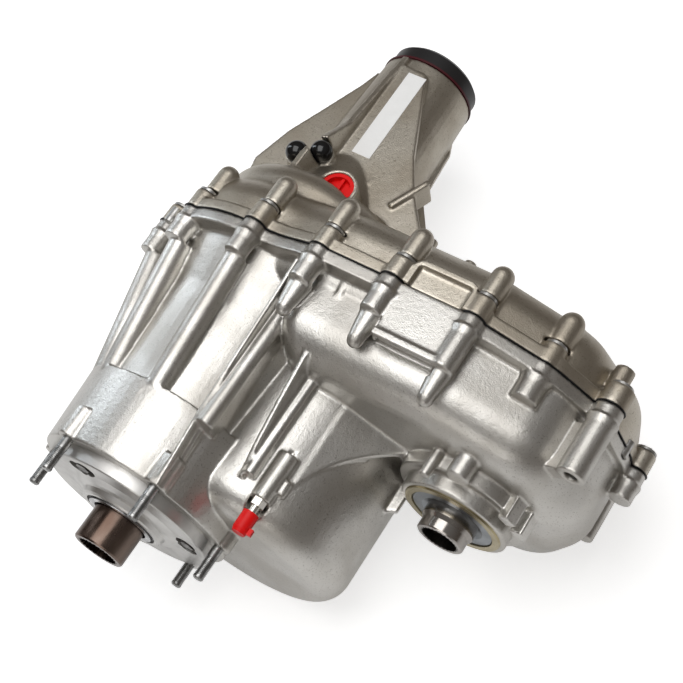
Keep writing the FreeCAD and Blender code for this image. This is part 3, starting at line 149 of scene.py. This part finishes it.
floor_gap = 0.0005
floor_middle = (0.12, 0.2, cad_box[0][2] - floor_gap)
floor_size = 80.0
bpy.ops.object.select_all(action="DESELECT")
bpy.ops.mesh.primitive_grid_add(x_subdivisions=4, y_subdivisions=4, size=floor_size, location=floor_middle)
floor = bpy.context.object
floor.name = "floor"
bpy.ops.object.transform_apply(location=True, rotation=True, scale=True)
paper = Finish("floor_paper", {"Roughness": 0.9, "Specular IOR Level": 0.1, "Emission Strength": 1.0})
tooth = paper.noise(60.0, 2.0)
paper.feed("Base Color", paper.blend(tooth, (0.83, 0.83, 0.83), (0.80, 0.80, 0.80)))
paper.bump(paper.noise(400.0), 0.0002, 0.2)
seen_straight = paper.node("LightPath", output="Is Camera Ray")
seen_in_metal = paper.node("LightPath", output="Is Glossy Ray")
seen_through = paper.node("LightPath", output="Is Transmission Ray")
from_case = paper.node("VectorMath", {"operation": "DISTANCE"}, [paper.place, floor_middle], output="Value")
clear_of_case = 0.6
open_floor = 1.8
far = from_case.between(clear_of_case, open_floor)
near_white = (0.62, 0.62, 0.62)
far_white = (0.94, 0.94, 0.94)
dark = (0.0, 0.0, 0.0)
mirrored_white = (0.1984, 0.1984, 0.1984)
mirrored = paper.blend(seen_in_metal + seen_through, dark, mirrored_white)
paper.feed("Emission Color", paper.blend(seen_straight, mirrored, paper.blend(far, near_white, far_white)))
floor.data.materials.append(paper.material)

# Studio light.
# A wide soft box overhead with two small ones at the front and the left,
# in a dim room that is warm near the ground.
world = bpy.data.worlds.new("room")
world.use_nodes = True
bpy.context.scene.world = world
room = Wiring(world.node_tree)
direction = room.node("TexCoord", output="Generated")
height = room.node("SeparateXYZ", sockets=[direction], output="Z")
warm_ground = (0.10, 0.080, 0.063)
grey_ceiling = (0.24, 0.235, 0.23)
walls = room.node("ValToRGB", {"stops": [(0.0, warm_ground), (0.9, grey_ceiling)]}, [height])
seen = room.node("LightPath", output="Is Camera Ray")
room.join(room.blend(seen, walls, (1.0, 1.0, 1.0)), room.tree.nodes["Background"].inputs["Color"])
case_middle = Vector((0.12, 0.2, 0.0))


def soft_box(name, place, width, depth, watts, tint=(1.0, 1.0, 1.0)):
    data = bpy.data.lights.new(name, "AREA")
    data.shape = "RECTANGLE"
    data.size = width
    data.size_y = depth
    data.energy = watts
    data.color = tint
    lamp = bpy.data.objects.new(name, data)
    bpy.context.collection.objects.link(lamp)
    lamp.location = place
    lamp.rotation_euler = (case_middle - Vector(place)).to_track_quat("-Z", "Y").to_euler()


soft_box("top_box", (-0.05, 0.15, 1.50), width=1.5, depth=1.2, watts=16.0)
soft_box("front_box", (0.25, -1.25, 0.55), width=0.9, depth=0.3, watts=2.5, tint=(1.0, 0.99, 0.97))
soft_box("side_box", (-1.35, 0.45, 0.55), width=0.25, depth=0.9, watts=3.5, tint=(0.84, 0.92, 1.0))


# Front casting.
# One sand-cast aluminium shell: adapter flange, barrel, belly and the front half of the chain housing.
# Its edges come rounded from the mould, and the skin is left as cast.
def loose_copy(node_name, name, merge=0.00001):
    piece = bpy.data.objects.new(name, nodes[node_name].data.copy())
    bpy.context.collection.objects.link(piece)
    piece.data.materials.clear()
    bpy.ops.object.select_all(action="DESELECT")
    piece.select_set(True)
    bpy.context.view_layer.objects.active = piece
    bpy.ops.object.mode_set(mode="EDIT")
    bpy.ops.mesh.select_all(action="SELECT")
    bpy.ops.mesh.remove_doubles(threshold=merge)
    bpy.ops.object.mode_set(mode="OBJECT")
    return piece


def worked(piece, kind, **settings):
    change = piece.modifiers.new(kind.lower(), kind)
    for key, value in settings.items():
        setattr(change, key, value)
    bpy.context.view_layer.objects.active = piece
    bpy.ops.object.modifier_apply(modifier=change.name)


def cast_skin(node_name, name, grain, triangles):
    # a voxel remesh rounds the edges as a sand mould does
    skin = loose_copy(node_name, name)
    worked(skin, "REMESH", mode="VOXEL", voxel_size=grain, use_smooth_shade=True)
    worked(skin, "SMOOTH", factor=0.5, iterations=6)
    remeshed = 2 * len(skin.data.polygons)
    worked(skin, "DECIMATE", ratio=min(1.0, triangles / remeshed))
    bpy.ops.object.shade_smooth()
    worked(skin, "WEIGHTED_NORMAL", weight=70)
    return skin


def cast_finish(name, light, dark, shine):
    finish = Finish(name, {"Metallic": 1.0})
    cloud = finish.noise(14.0, 4.0).between(0.38, 0.66)
    speck = finish.noise(620.0, 2.0)
    bright = finish.blend(cloud, light, dark)
    pits = tuple(0.80 * c for c in dark)
    finish.feed("Base Color", finish.blend(speck.between(0.28, 0.42), pits, bright))
    finish.feed("Roughness", cloud * 0.08 + speck * 0.10 + (shine - 0.05))
    grain = finish.noise(900.0, 3.0) + finish.noise(240.0, 3.0) * 0.9
    finish.bump(grain, 0.0005, 0.45)
    return finish


grain_size = 0.0013
most_triangles = 195000
cast = cast_finish("cast_aluminium_skin", (0.60, 0.585, 0.555), (0.49, 0.47, 0.435), 0.33)
front_case = cast_skin("front_case", "front_case_skin", grain_size, most_triangles)
front_case.data.materials.append(cast.material)
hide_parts("front_case")
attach(front_case, "case")


# Adapter studs and the collar nut.
# Zinc-plated threaded studs screwed into the flange, with chamfered tips.
# One of them still carries its hexagonal collar.
def dress(node_names, finish):
    # gives CAD nodes that keep their shape a better material
    for name in node_names:
        for slot in nodes[name].material_slots:
            slot.material = finish.material


def steel_finish(name, light, dark, shine, per_metre=180.0, depth=0.0001):
    finish = Finish(name, {"Metallic": 1.0})
    patch = finish.noise(per_metre, 4.0).between(0.35, 0.68)
    finish.feed("Base Color", finish.blend(patch, light, dark))
    finish.feed("Roughness", patch * 0.14 + shine)
    finish.bump(finish.noise(per_metre * 8.0, 2.0), depth, 0.4)
    return finish


zinc = steel_finish("zinc_plate", (0.56, 0.56, 0.55), (0.40, 0.39, 0.37), 0.28)
stud_zinc = steel_finish("stud_zinc", (0.38, 0.38, 0.375), (0.22, 0.22, 0.215), 0.26)
dress(["adapter_studs"], stud_zinc)
bright_zinc = steel_finish("bright_zinc", (0.85, 0.85, 0.84), (0.66, 0.66, 0.65), 0.18)
dress(["stud_nut"], bright_zinc)


# Input bearing and its seal.
# A ball bearing of ground steel pressed into the flange,
# closed by a rubber lip seal in a thin steel case.
def turned_finish(name, colour, shine, centre=(0.0, 0.0, 0.0)):
    # lathe rings round a line along Y through centre
    finish = Finish(name, {"Metallic": 1.0})
    across = (1.0, 0.0, 1.0)
    inward = finish.node("VectorMath", {"operation": "SUBTRACT"}, [finish.place, centre])
    flat = finish.node("VectorMath", {"operation": "MULTIPLY"}, [inward, across])
    away = finish.node("VectorMath", {"operation": "LENGTH"}, [flat], output="Value")
    ring = finish.node("TexNoise", {"noise_dimensions": "1D"}, {"W": away, "Scale": 2400.0, "Detail": 2.0})
    stain = finish.noise(40.0, 4.0).between(0.4, 0.7)
    dull = tuple(0.72 * c for c in colour)
    finish.feed("Base Color", finish.blend(stain * 0.6 + ring * 0.3, colour, dull))
    finish.feed("Roughness", ring * 0.16 + stain * 0.08 + (shine - 0.06))
    finish.bump(ring, 0.00008, 0.7)
    return finish


ground = turned_finish("ground_bearing_steel", (0.70, 0.70, 0.71), 0.20)
dress(["input_bearing_outer_ring", "input_bearing_inner_ring", "input_bearing_balls"], ground)


def rubber_finish(name, colour, shine):
    finish = Finish(name)
    dust = finish.noise(90.0, 5.0).between(0.45, 0.75)
    pale = tuple(c * 1.7 + 0.02 for c in colour)
    finish.feed("Base Color", finish.blend(dust * 0.5, colour, pale))
    finish.feed("Roughness", dust * 0.2 + shine)
    finish.bump(finish.noise(1500.0, 2.0), 0.0001, 0.35)
    return finish


black_rubber = rubber_finish("black_rubber", (0.014, 0.014, 0.015), 0.42)
dress(["input_seal"], black_rubber)
seal_steel = steel_finish("seal_case_steel", (0.62, 0.62, 0.63), (0.46, 0.46, 0.46), 0.24)
dress(["input_seal_case"], seal_steel)

# Input bearing retainer.
# A turned aluminium plate with a nose round the seal, machined on its face, held by three flanged screws.
retainer_face = turned_finish("turned_aluminium", (0.66, 0.65, 0.63), 0.34)
dress(["input_bearing_retainer"], retainer_face)
screw_steel = steel_finish("dark_screw_steel", (0.22, 0.21, 0.20), (0.13, 0.125, 0.12), 0.32)
dress(["retainer_bolts"], screw_steel)

# Input shaft.
# A splined steel tube with the sun gear on its inner end; its outside is dark with oil and heat treatment.
oiled = Finish("oiled_brown_steel", {"Metallic": 1.0})
film = oiled.noise(38.0, 5.0, (1.0, 0.35, 1.0)).between(0.3, 0.72)
oiled.feed("Base Color", oiled.blend(film, (0.085, 0.055, 0.042), (0.20, 0.155, 0.13)))
oiled.feed("Roughness", film * 0.16 + 0.20)
oiled.bump(oiled.noise(300.0, 4.0), 0.00015, 0.35)
dress(["input_shaft"], oiled)

# Planetary gears.
# Ring gear pressed in the casting and four planets on pins in a steel carrier, all case-hardened.
gear_steel = steel_finish("gear_steel", (0.52, 0.51, 0.50), (0.38, 0.37, 0.36), 0.27, per_metre=120.0)
dress(["annulus_gear", "planet_carrier", "planet_gear_1", "planet_gear_2", "planet_gear_3", "planet_gear_4",
       "planet_pins"], gear_steel)

# Range clutch and output shaft.
# The sleeve slides on the shaft's splines and couples it to the input shaft or to the carrier.
dress(["range_sleeve", "mode_sleeve", "mode_hub"], gear_steel)
shaft_steel = steel_finish("shaft_steel", (0.60, 0.59, 0.58), (0.46, 0.45, 0.44), 0.24, per_metre=90.0)
dress(["output_shaft"], shaft_steel)

# Chain drive.
# Two sprockets of gear steel and a chain of dark steel link plates.
dress(["drive_sprocket", "driven_sprocket"], gear_steel)
link_steel = steel_finish("link_steel", (0.34, 0.33, 0.32), (0.22, 0.21, 0.20), 0.30, per_metre=260.0)
dress(["drive_chain"], link_steel)

# Shift rail, forks and selectors.
# A ground rail carries two cast forks, which two cranks on the case wall push along it.
dress(["shift_rail"], shaft_steel)
fork_metal = steel_finish("fork_metal", (0.50, 0.49, 0.47), (0.40, 0.39, 0.37), 0.40,
                          per_metre=70.0, depth=0.0003)
dress(["range_fork", "mode_fork"], fork_metal)
dress(["range_selector", "mode_selector"], zinc)

# Oil pump and its pickup.
# A pressed-powder pump round the output shaft, with a strainer on a foot that reaches the sump.
powder = steel_finish("powder_metal", (0.36, 0.35, 0.34), (0.27, 0.26, 0.25), 0.46,
                      per_metre=500.0, depth=0.0002)
dress(["oil_pump_body", "oil_pump_cover", "oil_pump_rotor"], powder)


def plastic_finish(name, colour, shine, glint=0.5):
    finish = Finish(name, {"Specular IOR Level": glint})
    cloud = finish.noise(55.0, 3.0)
    deep = tuple(0.78 * c for c in colour)
    finish.feed("Base Color", finish.blend(cloud, colour, deep))
    finish.feed("Roughness", cloud * 0.10 + shine)
    finish.bump(finish.noise(1100.0, 2.0), 0.0001, 0.25)
    return finish


pickup_plastic = plastic_finish("pickup_plastic", (0.05, 0.05, 0.055), 0.42)
dress(["oil_pickup"], pickup_plastic)

# Front output.
# A hollow splined shaft in a ball bearing and a needle bearing,
# with a lip seal behind a gold-passivated ring.
shaft_distance = 0.257175
front_line = (shaft_distance, 0.0, 0.0)
front_ground = turned_finish("ground_front_steel", (0.72, 0.72, 0.73), 0.20, centre=front_line)
dress(["front_bearing_outer_ring", "front_bearing_inner_ring", "front_bearing_balls", "needle_bearing"],
      front_ground)
front_shaft_steel = turned_finish("front_shaft_steel", (0.40, 0.375, 0.35), 0.15, centre=front_line)
dress(["front_output_shaft"], front_shaft_steel)
seal_face = turned_finish("seal_face_steel", (0.30, 0.32, 0.34), 0.30, centre=front_line)
dress(["front_output_seal"], seal_face)
gold_plate = turned_finish("gold_zinc_plate", (0.44, 0.38, 0.24), 0.26, centre=front_line)
dress(["front_seal_ring"], gold_plate)

# Rear casting.
# The second sand-cast shell: the rear of the chain housing, the planetary dome and the long tail.
rear_case = cast_skin("rear_case", "rear_case_skin", grain_size, most_triangles)
warm_cast = cast_finish("warm_cast_skin", (0.54, 0.50, 0.43), (0.40, 0.355, 0.29), 0.36)
rear_case.data.materials.append(warm_cast.material)
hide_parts("rear_case")
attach(rear_case, "case")

# Case seam.
# Black liquid sealant squeezed out along the joint; dowels and zinc flange screws hold the two castings.
sealant = rubber_finish("black_sealant", (0.008, 0.008, 0.009), 0.30)
dress(["case_sealant"], sealant)
dress(["case_dowels", "case_bolts"], zinc)

# Vent.
# A plated nipple in the shoulder with a red rubber cap over its mouth.
nickel = steel_finish("nickel_plate", (0.74, 0.71, 0.66), (0.60, 0.57, 0.52), 0.20)
dress(["vent_fitting"], nickel)
cap_red = plastic_finish("cap_red", (0.86, 0.006, 0.006), 0.36, glint=0.25)
dress(["vent_cap"], cap_red)

# Transport plugs and sensor caps.
# A recessed red plug closes the sensor port, and two glossy black caps close the ones beside it.
dress(["port_plug"], cap_red)
cap_black = plastic_finish("cap_black", (0.004, 0.004, 0.0045), 0.07)
dress(["sensor_caps"], cap_black)
dress(["oil_plugs"], zinc)

# Tail.
# Bronze bushing, lip seal, tone wheel and rear bearing, closed by a black cap on a dark red band.
dress(["rear_bearing_outer_ring", "rear_bearing_inner_ring", "rear_bearing_balls"], ground)
bronze = steel_finish("bushing_bronze", (0.62, 0.44, 0.24), (0.50, 0.34, 0.18), 0.30)
dress(["tail_bushing"], bronze)
dress(["tone_wheel"], gear_steel)
dress(["tail_seal"], black_rubber)
tail_black = plastic_finish("tail_cap_black", (0.016, 0.015, 0.016), 0.30)
dress(["tail_dust_cap"], tail_black)
band_red = plastic_finish("band_red", (0.07, 0.004, 0.009), 0.36)
dress(["tail_band"], band_red)

# Label.
# A blank white paper sticker on the flat of the tail's web, with faint creases.
sticker = Finish("label_paper", {"Specular IOR Level": 0.3})
crease = sticker.noise(110.0, 3.0)
sticker.feed("Base Color", sticker.blend(crease, (0.97, 0.97, 0.96), (0.90, 0.90, 0.89)))
sticker.feed("Roughness", crease * 0.1 + 0.5)
sticker.bump(crease, 0.0004, 0.35)
dress(["label"], sticker)
